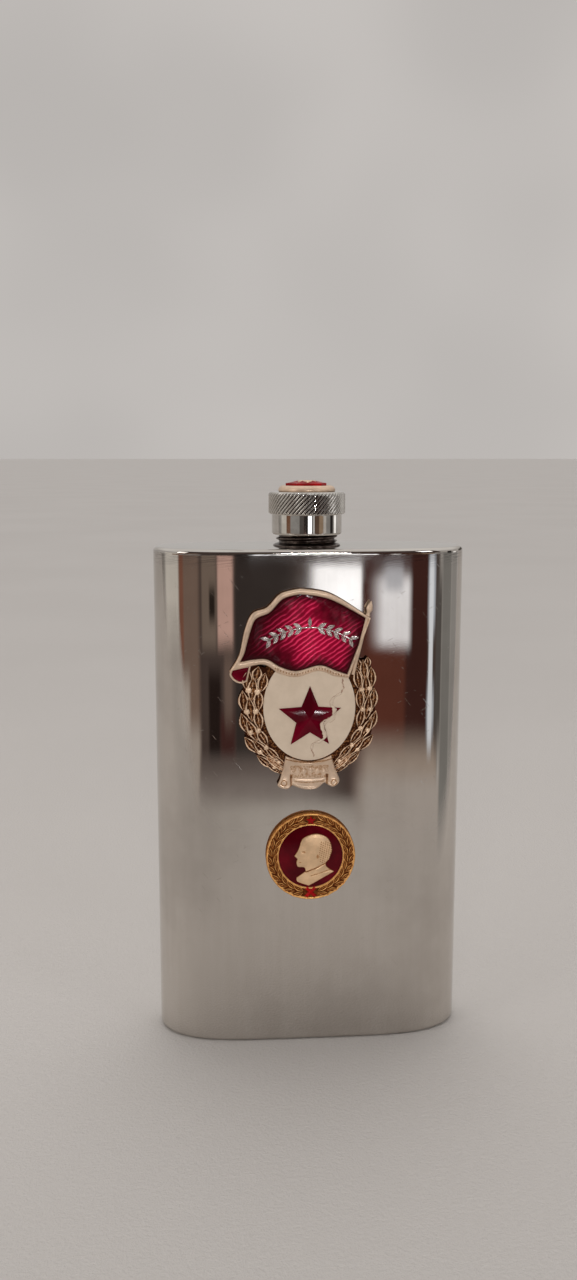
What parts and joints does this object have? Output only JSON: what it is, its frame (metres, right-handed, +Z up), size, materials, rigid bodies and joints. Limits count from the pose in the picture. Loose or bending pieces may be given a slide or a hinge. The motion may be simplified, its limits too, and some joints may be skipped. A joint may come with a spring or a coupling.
{
  "type": "hip flask",
  "caption": "Flat upright hip flask in polished steel with a knurled screw cap, and enamelled badges on its front and cap",
  "frame": {"origin": "middle of the flat underside of the base", "axes": "+Z up towards the cap, the badges on the front face -Y, +X to the right seen from the front"},
  "size_m": [0.072, 0.0284, 0.131],
  "materials": {
    "polished_steel": "polished",
    "turned_steel": "satin",
    "silver": "polished",
    "gilt": "satin",
    "antique_gilt": "satin",
    "copper_gilt": "satin",
    "red_enamel": "gloss",
    "dark_red_enamel": "gloss",
    "cream_enamel": "gloss",
    "silicone": "matte",
    "adhesive": "matte"
  },
  "bodies": {
    "flask": {"body_wall": "polished_steel", "bottom_plate": "polished_steel", "top_plate": "polished_steel", "neck": "turned_steel", "banner_badge_pad": "adhesive", "banner_badge_plate": "antique_gilt", "banner_badge_frame": "gilt", "banner_badge_tail_frame": "gilt", "banner_badge_red_enamel": "red_enamel", "banner_badge_tail_enamel": "red_enamel", "banner_badge_sprig": "silver", "banner_badge_staff": "gilt", "banner_badge_cream_enamel": "cream_enamel", "banner_badge_star": "red_enamel", "banner_badge_scroll": "gilt", "banner_badge_wreath_left": "antique_gilt", "banner_badge_wreath_right": "antique_gilt", "round_badge_pad": "adhesive", "round_badge_cup": "gilt", "round_badge_wreath": "copper_gilt", "round_badge_enamel": "dark_red_enamel", "round_badge_bust": "gilt", "round_badge_star": "red_enamel", "round_badge_bow": "red_enamel"},
    "cap_liner": {"cap_gasket": "silicone"},
    "cap": {"cap_shell": "turned_steel", "cap_badge_cup": "gilt", "cap_badge_star": "red_enamel", "cap_badge_boss": "gilt"}
  },
  "joints": [
    {"name": "cap_lift", "type": "slide", "parent": "flask", "child": "cap_liner", "axis": [0, 0, 1], "range_m": [0, 0.0075]},
    {"name": "cap_turn", "type": "hinge", "parent": "cap_liner", "child": "cap", "pos_m": [-0.0005, 0, 0.1235], "axis": [0, 0, 1], "range_deg": [0, 2160]}
  ],
  "couplings": [
    {"joint": "cap_lift", "follows": "cap_turn", "m_per_rad": 0.00019894}
  ]
}
